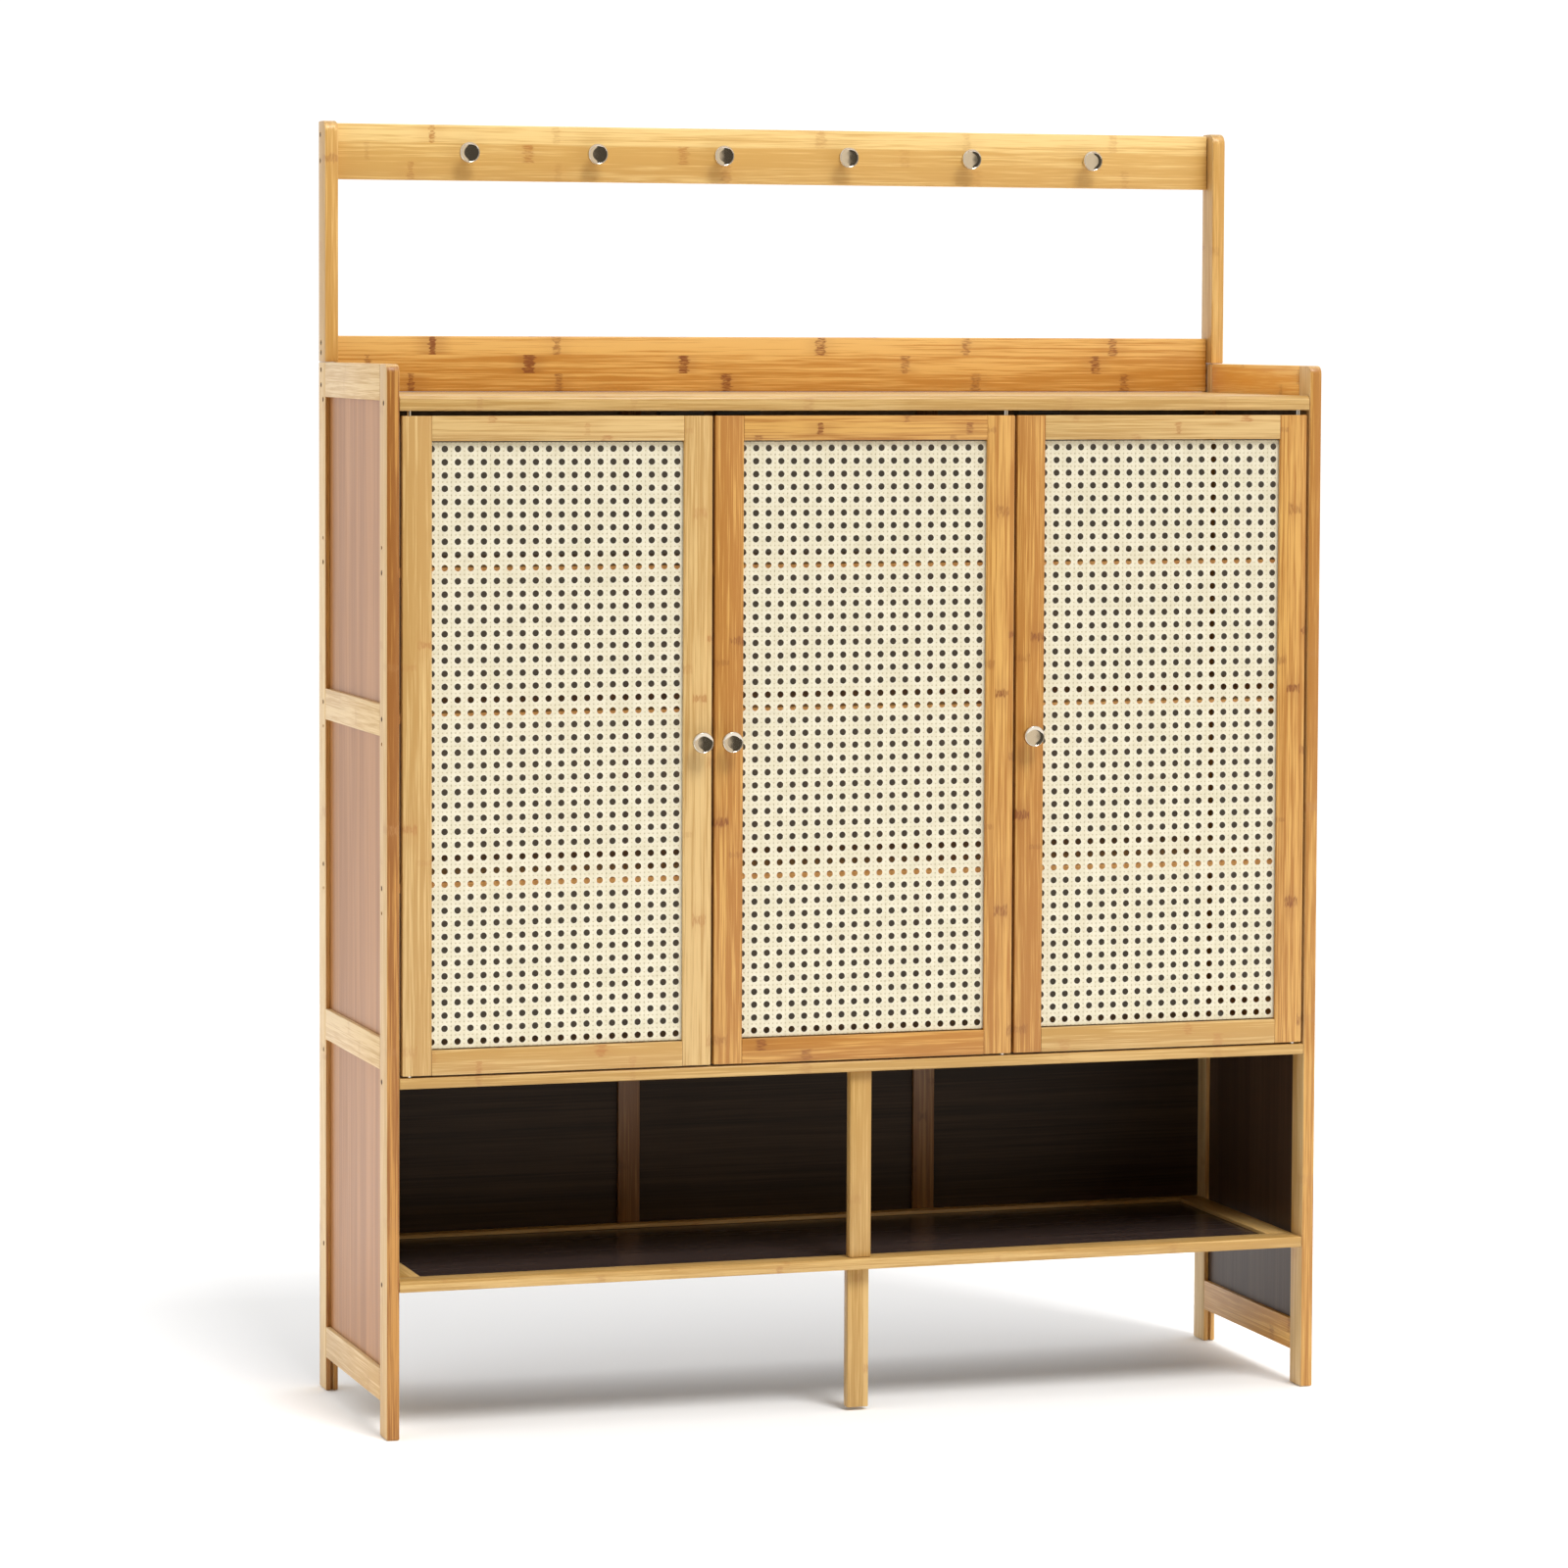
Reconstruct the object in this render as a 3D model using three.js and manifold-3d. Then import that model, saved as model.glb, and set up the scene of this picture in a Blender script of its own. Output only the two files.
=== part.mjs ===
// Bamboo shoe cabinet with three cane-panelled doors, an open lower bay and a row of hook knobs.
// Millimetres, +Z up. The front stands at -Y, and the origin is the bottom centre of the whole piece.
import * as THREE from 'three';
import { mergeVertices } from 'three/addons/utils/BufferGeometryUtils.js';
import Module from 'manifold-3d';

const wasm = await Module();
wasm.setup();

// Overall sizes
const cabinetWidth = 1000;
const cabinetDepth = 300;
const sideHeight = 1073;
const postTop = 1322;
const seam = 0.3; // clearance left between pieces that meet

// Side frames
const sideThickness = 13;
const stileDepth = 30;
const footHeight = 35;
const railHeight = 32;
const topRailHeight = 36;
const stileCornerRadius = 9;
const grooveDepth = 5;
const grooveStop = 8; // grooves end this far below the stiles' tops
const panelThickness = 3;

// Upper posts and the two rails between them
const postThickness = 14;
const postCornerRadius = 12;
const crossRailThickness = 12;
const crossRailHeight = 58;
const hookRailSetback = 16; // behind the posts' front faces
const hookRailDrop = 2; // below the posts' tops
const backRailSetback = 13;

// Shelves
const topShelfTop = 1042;
const topShelfThickness = 15;
const midShelfTop = 363;
const lowShelfThickness = 11;
const bottomShelfTop = 159;
const innerShelfThickness = 10;
const innerShelfMiddles = [866, 720.5, 551.5];
const spareHoleOffsets = [25, -25, -25]; // the second peg height beside each inner shelf
const innerShelfSetback = 17; // clear of the doors' hinged edges as they turn
const shelfNose = 5; // radius of the top shelf's front edge
const shelfNoseSmall = 2;
const frameRailWidth = 28; // bottom shelf's front and side members
const frameRearWidth = 16;

// Back
const battenWidth = 24;
const battenThickness = 12;
const battenPitch = 332;
const backPanelInset = 4.5; // behind the battens' front faces

// Centre supports
const centrePostWidth = 23;
const centrePostDepth = 12;
const centrePostSetback = 8;
const centreLegSetback = 14;
const centreLegClearance = 3; // short of the floor, so that it never lifts a side foot

// Doors
const doorWidth = 320.5;
const doorThickness = 12;
const doorStileWidth = 30;
const doorRailHeight = 25;
const doorTopGap = 5;
const doorBottomGap = 2;
const canePanelThickness = 2;
const canePanelRecess = 4;
const pivotInset = 8; // pin axis from the door's hinged edge

// Hardware
const pinRadius = 2.3;
const boreRadius = 2.6;
const pinInDoor = 12;
const pinInTopShelf = 9;
const pinInMidShelf = 7;
const knobRadius = 10.75;
const knobReach = 18;
const knobNeckRadius = 4;
const knobFootRadius = 6;
const knobDiscThickness = 6;
const knobSides = 20;
const knobInset = 14; // knob's axis from the door's free edge
const hookPitch = 138.5;
const hookCount = 6;
const catchSize = [46, 14, 13];
const catchFromFreeEdge = 28;
const catchClearance = 2; // room behind the door for its strike plate

// Levels and widths worked out from those sizes
const halfWidth = cabinetWidth / 2;
const innerHalf = halfWidth - sideThickness;
const shelfHalf = innerHalf - seam;
const shelfDepth = cabinetDepth - battenThickness - seam;
const topShelfUnderside = topShelfTop - topShelfThickness;
const doorBottom = midShelfTop + doorBottomGap;
const doorTop = topShelfUnderside - doorTopGap;
const doorHeight = doorTop - doorBottom;
const doorGap = (2 * innerHalf - 3 * doorWidth) / 4;
const grooveWidth = panelThickness + 2 * seam;
const panelHold = grooveDepth - seam;
const backPanelFront = cabinetDepth - battenThickness + backPanelInset;
const backFoot = bottomShelfTop - lowShelfThickness;
const bayHeight = (sideHeight - topRailHeight - footHeight - 3 * railHeight) / 3;
const bodyMiddle = (cabinetDepth - knobReach - seam) / 2;

const bamboo = { color: 0xd2aa64, roughness: 0.5, metalness: 0 };
const amberBamboo = { color: 0xc88741, roughness: 0.5, metalness: 0 };
const brownBoard = { color: 0x4a3526, roughness: 0.35, metalness: 0 };
const caneWeave = { color: 0xf0e6c8, roughness: 0.7, metalness: 0 };
const chrome = { color: 0xc8cacc, roughness: 0.12, metalness: 1 };
const blackPlastic = { color: 0x1c1c1c, roughness: 0.5, metalness: 0 };

const cabinet = new THREE.Group();
const body = new THREE.Group();
body.position.set(0, -bodyMiddle, 0);
cabinet.add(body);

// A closed mesh with shared corners, as manifold-3d reads it
function toSolid(geometry) {
  const bare = geometry.clone();
  bare.deleteAttribute('normal');
  bare.deleteAttribute('uv');
  const merged = mergeVertices(bare);
  return new wasm.Manifold(new wasm.Mesh({
    numProp: 3,
    vertProperties: new Float32Array(merged.attributes.position.array),
    triVerts: new Uint32Array(merged.index.array),
  }));
}

function toGeometry(solid) {
  const mesh = solid.getMesh();
  const geometry = new THREE.BufferGeometry();
  geometry.setAttribute('position', new THREE.BufferAttribute(mesh.vertProperties, 3));
  geometry.setIndex(new THREE.BufferAttribute(mesh.triVerts, 1));
  geometry.computeVertexNormals();
  return geometry;
}

// A box between two corners
function block(low, high) {
  const size = high.map((value, i) => value - low[i]);
  const middle = high.map((value, i) => (value + low[i]) / 2);
  return new THREE.BoxGeometry(...size).translate(...middle);
}

// A board with its outline in the YZ plane, rounded at its two front corners, and its length along X
function board(low, high, topRadius, bottomRadius) {
  const [, front, foot] = low;
  const [, rear, top] = high;
  const outline = new THREE.Shape();
  outline.moveTo(rear, foot);
  outline.lineTo(rear, top);
  outline.lineTo(front + topRadius, top);
  outline.absarc(front + topRadius, top - topRadius, topRadius, Math.PI / 2, Math.PI, false);
  if (bottomRadius > 0) {
    outline.absarc(front + bottomRadius, foot + bottomRadius, bottomRadius, Math.PI, 1.5 * Math.PI, false);
  } else {
    outline.lineTo(front, foot);
  }
  outline.closePath();
  const geometry = new THREE.ExtrudeGeometry(outline, {
    depth: high[0] - low[0],
    bevelEnabled: false,
    curveSegments: 3,
  });
  const turn = new THREE.Matrix4().makeBasis(
    new THREE.Vector3(0, 1, 0),
    new THREE.Vector3(0, 0, 1),
    new THREE.Vector3(1, 0, 0),
  );
  return geometry.applyMatrix4(turn).translate(low[0], 0, 0);
}

// A round bar along one axis, from one end to the other
function bar(radius, sides, axis, from, to) {
  const length = to - from;
  const geometry = new THREE.CylinderGeometry(radius, radius, length, sides);
  const middle = (from + to) / 2;
  if (axis === 'x') {
    return geometry.rotateZ(Math.PI / 2).translate(middle, 0, 0);
  }
  return geometry.rotateX(Math.PI / 2).translate(0, 0, middle);
}

function cut(geometry, tools) {
  const start = toSolid(geometry);
  return toGeometry(tools.reduce((solid, tool) => solid.subtract(toSolid(tool)), start));
}

function place(parent, name, geometry, finish) {
  const mesh = new THREE.Mesh(geometry, new THREE.MeshStandardMaterial(finish));
  mesh.name = name;
  parent.add(mesh);
  return mesh;
}

// Where bolts pass through a side, as [distance from the front, height]
const topBoltLine = 14;
const frontBoltLine = 22;
const rearBoltLine = 280;
const shelfBoltHeights = [
  ...innerShelfMiddles,
  midShelfTop - lowShelfThickness / 2,
  bottomShelfTop - lowShelfThickness / 2,
];
const topShelfMiddle = topShelfTop - topShelfThickness / 2;
const backRailBottom = topShelfTop + seam;
const hookRailTop = postTop - hookRailDrop;
const hookRailMiddle = hookRailTop - crossRailHeight / 2;
const postFront = cabinetDepth - stileDepth;
const hookRailFront = postFront + hookRailSetback;
const backRailFront = postFront + backRailSetback;
const backRailLine = backRailFront + crossRailThickness / 2;
const hookRailLine = hookRailFront + crossRailThickness / 2;
const frontBolts = [
  [topBoltLine, topShelfMiddle],
  ...shelfBoltHeights.map((z) => [frontBoltLine, z]),
];
const rearBolts = [
  [rearBoltLine, topShelfMiddle],
  [backRailLine, backRailBottom + 7],
  [backRailLine, sideHeight - 8],
  ...shelfBoltHeights.map((z) => [rearBoltLine, z]),
];
const postBolts = [
  [backRailLine, sideHeight + 10],
  [backRailLine, backRailBottom + crossRailHeight - 7],
  [hookRailLine, hookRailMiddle - 10],
  [hookRailLine, hookRailMiddle + 17],
];
const spareHoles = innerShelfMiddles.map((z, i) => z + spareHoleOffsets[i]);

function sideBores(places, halfThickness) {
  const reach = halfThickness + 1;
  return places.map(([y, z]) => bar(boreRadius, 8, 'x', -reach, reach).translate(0, y, z));
}

// One side frame: two stiles, four rails and three boards let into a groove.
// "inward" is +1 on the left side and -1 on the right, the way its inner face looks.
function buildSide(name, inward) {
  const side = new THREE.Group();
  side.position.set(-inward * (halfWidth - sideThickness / 2), 0, 0);
  body.add(side);
  const half = sideThickness / 2;
  const groove = grooveWidth / 2;
  const rearStart = cabinetDepth - stileDepth;

  const frontGroove = block(
    [-groove, stileDepth - grooveDepth, -1],
    [groove, stileDepth + 1, sideHeight - grooveStop],
  );
  const frontSpares = spareHoles.map((z) => [frontBoltLine, z]);
  const front = board([-half, 0, 0], [half, stileDepth, sideHeight], stileCornerRadius, 0);
  const frontCuts = [frontGroove, ...sideBores([...frontBolts, ...frontSpares], half)];
  place(side, `${name}_front_stile`, cut(front, frontCuts), bamboo);

  const rearGroove = block(
    [-groove, rearStart - 1, -1],
    [groove, rearStart + grooveDepth, sideHeight - grooveStop],
  );
  const backGrooveEdges = [inward * (half - grooveDepth), inward * (half + 1)].sort((a, b) => a - b);
  const backGroove = block(
    [backGrooveEdges[0], backPanelFront - seam, backFoot - seam],
    [backGrooveEdges[1], backPanelFront + panelThickness + seam, topShelfUnderside + seam],
  );
  const rear = block([-half, rearStart, 0], [half, cabinetDepth, sideHeight]);
  const rearSpares = spareHoles.map((z) => [rearBoltLine, z]);
  const rearCuts = [rearGroove, backGroove, ...sideBores([...rearBolts, ...rearSpares], half)];
  place(side, `${name}_rear_stile`, cut(rear, rearCuts), bamboo);

  const railNames = ['bottom_rail', 'lower_mid_rail', 'upper_mid_rail', 'top_rail'];
  const panelNames = ['lower_panel', 'middle_panel', 'upper_panel'];
  railNames.forEach((railName, i) => {
    const foot = footHeight + i * (railHeight + bayHeight);
    const top = i === 3 ? sideHeight : foot + railHeight;
    const rail = block(
      [-half, stileDepth + seam, foot],
      [half, rearStart - seam, top],
    );
    const grooves = [];
    if (i > 0) {
      grooves.push(block([-groove, stileDepth, foot - 1], [groove, rearStart, foot + grooveDepth]));
    }
    if (i < 3) {
      grooves.push(block([-groove, stileDepth, top - grooveDepth], [groove, rearStart, top + 1]));
    }
    place(side, `${name}_${railName}`, cut(rail, grooves), bamboo);
    if (i < 3) {
      const panel = block(
        [-panelThickness / 2, stileDepth - panelHold, top - panelHold],
        [panelThickness / 2, rearStart + panelHold, top + bayHeight + panelHold],
      );
      place(side, `${name}_${panelNames[i]}`, panel, brownBoard);
    }
  });

  const outer = -inward * half;
  const postEdges = [outer, outer + inward * postThickness].sort((a, b) => a - b);
  const post = board(
    [postEdges[0], rearStart, sideHeight + seam],
    [postEdges[1], cabinetDepth, postTop],
    postCornerRadius,
    0,
  );
  place(side, `${name}_upper_post`, cut(post, sideBores(postBolts, half + 2)), bamboo);
}

buildSide('left', 1);
buildSide('right', -1);

// The two rails between the upper posts
const railHalf = halfWidth - postThickness - seam;
place(body, 'hook_rail', block(
  [-railHalf, hookRailFront, hookRailTop - crossRailHeight],
  [railHalf, hookRailFront + crossRailThickness, hookRailTop],
), bamboo);
place(body, 'back_rail', block(
  [-railHalf, backRailFront, backRailBottom],
  [railHalf, backRailFront + crossRailThickness, backRailBottom + crossRailHeight],
), amberBamboo);

// A turned knob reaching forward from y = 0: foot, narrow neck and a disc with a bevelled rim
function turnedKnob() {
  const discBack = knobReach - knobDiscThickness;
  const profile = [
    [0, 0],
    [knobFootRadius, 0],
    [knobFootRadius, 1.5],
    [knobNeckRadius, 4],
    [knobNeckRadius, discBack - 3],
    [knobRadius - 1, discBack],
    [knobRadius, discBack + 1.5],
    [knobRadius - 1.6, knobReach],
    [0, knobReach],
  ];
  const points = profile.map(([r, y]) => new THREE.Vector2(r, y));
  return new THREE.LatheGeometry(points, knobSides).rotateX(Math.PI);
}

for (let i = 0; i < hookCount; i += 1) {
  const hook = place(body, `hook_knob_${i + 1}`, turnedKnob(), chrome);
  hook.position.set((i - (hookCount - 1) / 2) * hookPitch, hookRailFront - seam, hookRailMiddle);
}

// Each door turns on two pins, whose common axis stands near one of its edges
const pinLine = doorThickness / 2;
const doors = [
  { name: 'left_door', hinge: -1 },
  { name: 'middle_door', hinge: 1 },
  { name: 'right_door', hinge: 1 },
];
doors.forEach((door, i) => {
  const lowX = -innerHalf + doorGap + i * (doorWidth + doorGap);
  door.lowX = lowX;
  door.axisX = door.hinge < 0 ? lowX + pivotInset : lowX + doorWidth - pivotInset;
});

function pinBores(from, to) {
  return doors.map((door) => bar(boreRadius, 12, 'z', from, to).translate(door.axisX, pinLine, 0));
}

// Shelves
const topShelf = board(
  [-shelfHalf, 0, topShelfUnderside],
  [shelfHalf, backRailFront + crossRailThickness, topShelfTop],
  shelfNose,
  shelfNoseSmall,
);
const upperBores = pinBores(topShelfUnderside - 1, topShelfUnderside + pinInTopShelf + seam);
place(body, 'top_shelf', cut(topShelf, upperBores), bamboo);

const midShelf = board(
  [-shelfHalf, 0, midShelfTop - lowShelfThickness],
  [shelfHalf, shelfDepth, midShelfTop],
  shelfNoseSmall,
  shelfNoseSmall,
);
const lowerBores = pinBores(midShelfTop - pinInMidShelf - seam, midShelfTop + 1);
place(body, 'mid_shelf', cut(midShelf, lowerBores), bamboo);

['upper', 'centre', 'lower'].forEach((level, i) => {
  const middle = innerShelfMiddles[i];
  const shelf = board(
    [-shelfHalf, innerShelfSetback, middle - innerShelfThickness / 2],
    [shelfHalf, shelfDepth, middle + innerShelfThickness / 2],
    shelfNoseSmall,
    shelfNoseSmall,
  );
  place(body, `${level}_inner_shelf`, shelf, amberBamboo);
});

// Bottom shelf: a frame with a brown board let into its inner edge
const frameInner = shelfHalf - frameRailWidth;
const frameRear = shelfDepth - frameRearWidth;
const bottomUnderside = bottomShelfTop - lowShelfThickness;
const bottomMiddle = bottomUnderside + lowShelfThickness / 2;
const bottomOuter = board(
  [-shelfHalf, 0, bottomUnderside],
  [shelfHalf, shelfDepth, bottomShelfTop],
  shelfNoseSmall,
  shelfNoseSmall,
);
const bottomOpening = block(
  [-frameInner, frameRailWidth, bottomUnderside - 1],
  [frameInner, frameRear, bottomShelfTop + 1],
);
const bottomGroove = block(
  [-frameInner - grooveDepth, frameRailWidth - grooveDepth, bottomMiddle - grooveWidth / 2],
  [frameInner + grooveDepth, frameRear + grooveDepth, bottomMiddle + grooveWidth / 2],
);
place(body, 'bottom_shelf_frame', cut(bottomOuter, [bottomOpening, bottomGroove]), bamboo);
place(body, 'bottom_shelf_panel', block(
  [-frameInner - panelHold, frameRailWidth - panelHold, bottomMiddle - panelThickness / 2],
  [frameInner + panelHold, frameRear + panelHold, bottomMiddle + panelThickness / 2],
), brownBoard);

// Centre supports of the open bay and under the bottom shelf
place(body, 'centre_post', block(
  [-centrePostWidth / 2, centrePostSetback, bottomShelfTop + seam],
  [centrePostWidth / 2, centrePostSetback + centrePostDepth, midShelfTop - lowShelfThickness - seam],
), bamboo);
place(body, 'centre_leg', block(
  [-centrePostWidth / 2, centreLegSetback, centreLegClearance],
  [centrePostWidth / 2, centreLegSetback + centrePostDepth, bottomUnderside - seam],
), bamboo);

// Back: two battens with three boards let in between them and the rear stiles
const battenTop = topShelfUnderside - seam;
const battenFront = cabinetDepth - battenThickness;
[['left', -1], ['right', 1]].forEach(([name, hand]) => {
  const middle = hand * battenPitch / 2;
  const lowX = middle - battenWidth / 2;
  const highX = middle + battenWidth / 2;
  const grooveFront = backPanelFront - seam;
  const grooveBack = backPanelFront + panelThickness + seam;
  const batten = cut(block([lowX, battenFront, backFoot], [highX, cabinetDepth, battenTop]), [
    block([lowX - 1, grooveFront, backFoot - 1], [lowX + grooveDepth, grooveBack, battenTop + 1]),
    block([highX - grooveDepth, grooveFront, backFoot - 1], [highX + 1, grooveBack, battenTop + 1]),
  ]);
  place(body, `back_batten_${name}`, batten, amberBamboo);
});

const innerBatten = battenPitch / 2 - battenWidth / 2;
const outerBatten = battenPitch / 2 + battenWidth / 2;
const backBays = [
  ['back_panel_left', -innerHalf - panelHold, -outerBatten + panelHold],
  ['back_panel_middle', -innerBatten - panelHold, innerBatten + panelHold],
  ['back_panel_right', outerBatten - panelHold, innerHalf + panelHold],
];
backBays.forEach(([name, lowX, highX]) => {
  place(body, name, block(
    [lowX, backPanelFront, backFoot],
    [highX, backPanelFront + panelThickness, battenTop],
  ), brownBoard);
});

// One door in its own group, whose origin is the bottom of the door on its pivot axis
function buildDoor(door) {
  const group = new THREE.Group();
  group.position.set(door.axisX, 0, doorBottom);
  body.add(group);
  const lowX = door.lowX - door.axisX;
  const highX = lowX + doorWidth;
  const paneLow = [lowX + doorStileWidth, 0, doorRailHeight];
  const paneHigh = [highX - doorStileWidth, 0, doorHeight - doorRailHeight];
  const opening = block(
    [paneLow[0], -1, paneLow[2]],
    [paneHigh[0], doorThickness + 1, paneHigh[2]],
  );
  const paneGroove = block(
    [paneLow[0] - grooveDepth, canePanelRecess - seam, paneLow[2] - grooveDepth],
    [paneHigh[0] + grooveDepth, canePanelRecess + canePanelThickness + seam, paneHigh[2] + grooveDepth],
  );
  const pinHoles = [
    bar(boreRadius, 12, 'z', -1, pinInDoor + seam),
    bar(boreRadius, 12, 'z', doorHeight - pinInDoor - seam, doorHeight + 1),
  ].map((hole) => hole.translate(0, pinLine, 0));
  const slab = block([lowX, 0, 0], [highX, doorThickness, doorHeight]);
  place(group, `${door.name}_frame`, cut(slab, [opening, paneGroove, ...pinHoles]), bamboo);
  place(group, `${door.name}_cane_panel`, block(
    [paneLow[0] - panelHold, canePanelRecess, paneLow[2] - panelHold],
    [paneHigh[0] + panelHold, canePanelRecess + canePanelThickness, paneHigh[2] + panelHold],
  ), caneWeave);

  const freeEdge = door.hinge < 0 ? highX : lowX;
  const knob = place(group, `${door.name}_knob`, turnedKnob(), chrome);
  knob.position.set(freeEdge + door.hinge * knobInset, -seam, doorHeight / 2);
}

doors.forEach(buildDoor);

// The pins stay in the shelves while the doors turn round them
doors.forEach((door) => {
  const upper = bar(pinRadius, 12, 'z', doorTop - pinInDoor, topShelfUnderside + pinInTopShelf);
  const lower = bar(pinRadius, 12, 'z', midShelfTop - pinInMidShelf, doorBottom + pinInDoor);
  place(body, `${door.name}_upper_pin`, upper, chrome).position.set(door.axisX, pinLine, 0);
  place(body, `${door.name}_lower_pin`, lower, chrome).position.set(door.axisX, pinLine, 0);
});

// Magnetic catches under the top shelf, behind each door's free edge
const [catchWidth, catchDepth, catchHeight] = catchSize;
const catchFront = doorThickness + catchClearance;
const catchTop = topShelfUnderside - seam;
doors.forEach((door) => {
  const freeEdge = door.hinge < 0 ? door.lowX + doorWidth : door.lowX;
  const middle = freeEdge + door.hinge * catchFromFreeEdge;
  place(body, `${door.name}_catch`, block(
    [middle - catchWidth / 2, catchFront, catchTop - catchHeight],
    [middle + catchWidth / 2, catchFront + catchDepth, catchTop],
  ), blackPlastic);
});

export default cabinet;
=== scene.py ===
import bpy
from math import pi, radians
from mathutils import Euler, Matrix, Vector


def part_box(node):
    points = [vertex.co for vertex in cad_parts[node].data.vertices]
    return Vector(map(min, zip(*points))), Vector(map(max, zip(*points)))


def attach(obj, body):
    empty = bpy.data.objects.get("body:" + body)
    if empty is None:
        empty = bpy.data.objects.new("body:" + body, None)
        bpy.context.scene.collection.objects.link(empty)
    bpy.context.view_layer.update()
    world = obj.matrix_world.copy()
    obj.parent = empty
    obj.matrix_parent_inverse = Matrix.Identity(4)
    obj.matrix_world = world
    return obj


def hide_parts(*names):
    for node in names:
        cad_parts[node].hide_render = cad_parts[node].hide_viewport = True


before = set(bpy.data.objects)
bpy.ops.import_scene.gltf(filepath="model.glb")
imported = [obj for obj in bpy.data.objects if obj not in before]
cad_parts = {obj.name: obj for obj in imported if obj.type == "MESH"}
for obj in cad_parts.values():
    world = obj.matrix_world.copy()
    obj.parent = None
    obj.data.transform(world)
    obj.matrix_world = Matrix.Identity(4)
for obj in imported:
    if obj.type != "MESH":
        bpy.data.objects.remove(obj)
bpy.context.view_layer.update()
joinGap = 0.0003  # clearance that the solids leave where one piece is let into another
print("frame loaded:", len(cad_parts), "nodes")


class Signal:
    # one output of a node, so that shader maths reads as plain sums

    def __init__(self, recipe, socket):
        self.recipe = recipe
        self.socket = socket

    def out(self, name):
        return Signal(self.recipe, self.socket.node.outputs[name])

    def maths(self, operation, *others):
        values = dict(enumerate((self, *others)))
        return self.recipe.node("ShaderNodeMath", {"operation": operation}, values)

    def __add__(self, other):
        return self.maths("ADD", other)

    def __mul__(self, other):
        return self.maths("MULTIPLY", other)

    def __sub__(self, other):
        return self.maths("SUBTRACT", other)

    def __truediv__(self, other):
        return self.maths("DIVIDE", other)

    def __rsub__(self, other):
        return self * -1 + other

    def __abs__(self):
        return self.maths("ABSOLUTE")

    __radd__ = __add__
    __rmul__ = __mul__


class Recipe:
    # the nodes of one material, or of the world, built from the texture side to the shader

    def __init__(self, owner):
        self.owner = owner
        owner.use_nodes = True
        self.tree = owner.node_tree
        self.tree.nodes.clear()

    def node(self, kind, settings=None, sockets=None, output=0):
        made = self.tree.nodes.new(kind)
        for key, value in (settings or {}).items():
            setattr(made, key, value)
        for key, value in (sockets or {}).items():
            if isinstance(value, Signal):
                self.tree.links.new(value.socket, made.inputs[key])
            else:
                made.inputs[key].default_value = value
        return None if output is None else Signal(self, made.outputs[output])

    def place(self):
        return self.node("ShaderNodeTexCoord", output="Object")

    def facing(self):
        # how far a face looks to the front, as -1, or to the back, as 1
        return self.axes(self.node("ShaderNodeNewGeometry", output="True Normal"))["y"]

    def axes(self, vector):
        split = self.node("ShaderNodeSeparateXYZ", {}, {"Vector": vector})
        return {axis: split.out(axis.upper()) for axis in "xyz"}

    def noise(self, place, scale, detail=2.0):
        stretched = self.node("ShaderNodeMapping", {}, {"Vector": place, "Scale": scale})
        return self.node("ShaderNodeTexNoise", {}, {"Vector": stretched, "Scale": 1.0, "Detail": detail})

    def fibres(self, place, grain, across, along, detail):
        # noise drawn out along the grain, given its waves per metre across and along it
        return self.noise(place, [along if axis == grain else across for axis in "xyz"], detail)

    def dice(self, first, second=0.0):
        # three numbers from 0 to 1 that depend on two whole numbers
        cell = self.node("ShaderNodeCombineXYZ", {}, {"X": first, "Y": second})
        rolled = self.node("ShaderNodeTexWhiteNoise", {"noise_dimensions": "2D"}, {"Vector": cell}, "Color")
        split = self.node("ShaderNodeSeparateColor", {}, {"Color": rolled})
        return split.out("Red"), split.out("Green"), split.out("Blue")

    def fade(self, value, start, end):
        # 0 up to start and 1 past end, smooth between
        settings = {"interpolation_type": "SMOOTHSTEP"}
        return self.node("ShaderNodeMapRange", settings, {"Value": value, "From Min": start, "From Max": end})

    def blend(self, share, first, second):
        sockets = {"Factor": share, 6: opaque(first), 7: opaque(second)}
        return self.node("ShaderNodeMix", {"data_type": "RGBA"}, sockets, output=2)

    def shade(self, colour, roughness, height=None, depth=None, behind=None, **constants):
        # height is the relief's shape, and depth how many metres one unit of it stands up
        sockets = {"Base Color": opaque(colour), "Roughness": roughness}
        if height:
            relief = {"Height": height, "Distance": depth, "Strength": 1.0}
            sockets["Normal"] = self.node("ShaderNodeBump", {}, relief)
        for key, value in constants.items():
            sockets[key.replace("_", " ")] = value
        surface = self.node("ShaderNodeBsdfPrincipled", {}, sockets)
        if behind:
            share, through = behind
            surface = self.node("ShaderNodeMixShader", {}, {0: share, 1: surface, 2: through})
        self.node("ShaderNodeOutputMaterial", {}, {"Surface": surface}, output=None)
        return self.owner


def opaque(colour):
    return colour if isinstance(colour, Signal) else (*colour, 1.0)


def newRecipe(name):
    return Recipe(bpy.data.materials.new(name))


def crossAxes(grain):
    return [axis for axis in "xyz" if axis != grain]


weaveLight = {  # a faint glow behind the doors stands for the light that comes through the thin weave
    "lining": (0.055, 0.050, 0.039),
    "shelfFront": (0.26, 0.125, 0.045),
    "batten": (0.050, 0.046, 0.037),
    "floorDrop": 0.009,  # the glow starts inside the middle shelf
    "floorEdge": 0.0005,
    "doorDrop": (0.022, 0.010),  # and fades out below the doors' tops, so that the gap over them is dark
    "turnEdge": 0.2,
}


def aboveShelf(recipe, axes):
    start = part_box("mid_shelf")[1].z - weaveLight["floorDrop"]
    return recipe.fade(axes["z"], start, start + weaveLight["floorEdge"])


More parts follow.
